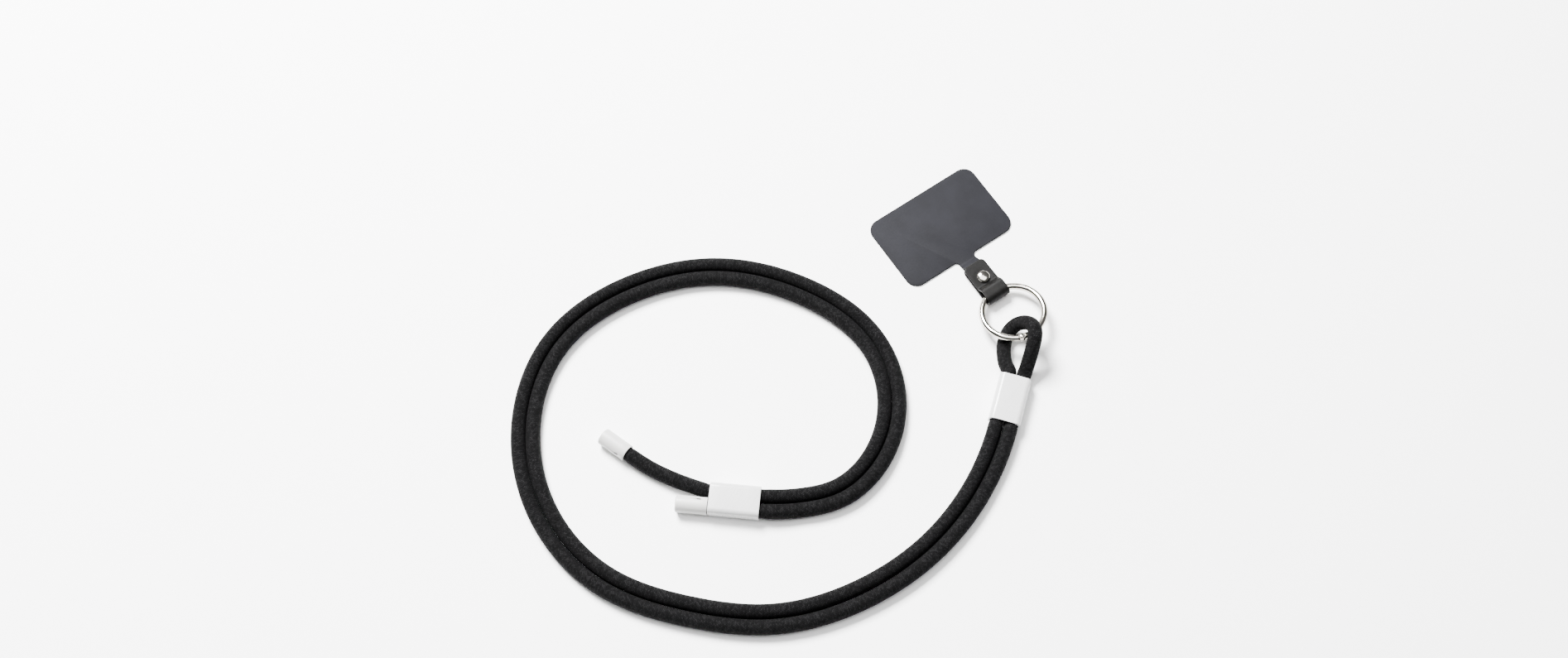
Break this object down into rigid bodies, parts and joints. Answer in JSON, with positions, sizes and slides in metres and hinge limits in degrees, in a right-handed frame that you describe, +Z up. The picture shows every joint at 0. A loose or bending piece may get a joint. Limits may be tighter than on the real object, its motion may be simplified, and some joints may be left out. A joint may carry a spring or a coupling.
{
  "type": "phone crossbody strap",
  "caption": "Phone crossbody strap: doubled round black cord with white flat sleeves and end caps, spring-gate ring, riveted leather tab and a thin tether patch.",
  "frame": {"origin": "on the plane the strap lies on, under the middle of the hard pieces' bounding box", "axes": "+Z up, the strap lies on Z = 0; +X to the picture's right, +Y away from the picture's camera"},
  "size_m": [0.2492, 0.2305, 0.019],
  "materials": {
    "cord_black": "fine braid",
    "sleeve_white": "satin to glossy",
    "cap_white": "satin",
    "nickel": "polished nickel",
    "leather_black": "smooth",
    "patch_grey": "fine matte grain"
  },
  "bodies": {
    "strap": {"tether_patch": "patch_grey", "leather_tab": "leather_black", "rivet": "nickel", "ring_body": "nickel", "ring_pin": "nickel", "ring_sleeve": "sleeve_white", "slider_sleeve": "sleeve_white", "end_cap_a": "cap_white", "end_cap_b": "cap_white", "cord": "cord_black"},
    "gate": {"ring_gate": "nickel"}
  },
  "joints": [
    {"name": "gate_hinge", "type": "hinge", "parent": "strap", "child": "gate", "pos_m": [0.09167, -0.00337, 0.00988], "axis": [0.122, -0.1808, -0.9759], "range_deg": [0, 24], "stiffness_Nm_per_rad": 0.03, "springref_deg": -17.19}
  ]
}
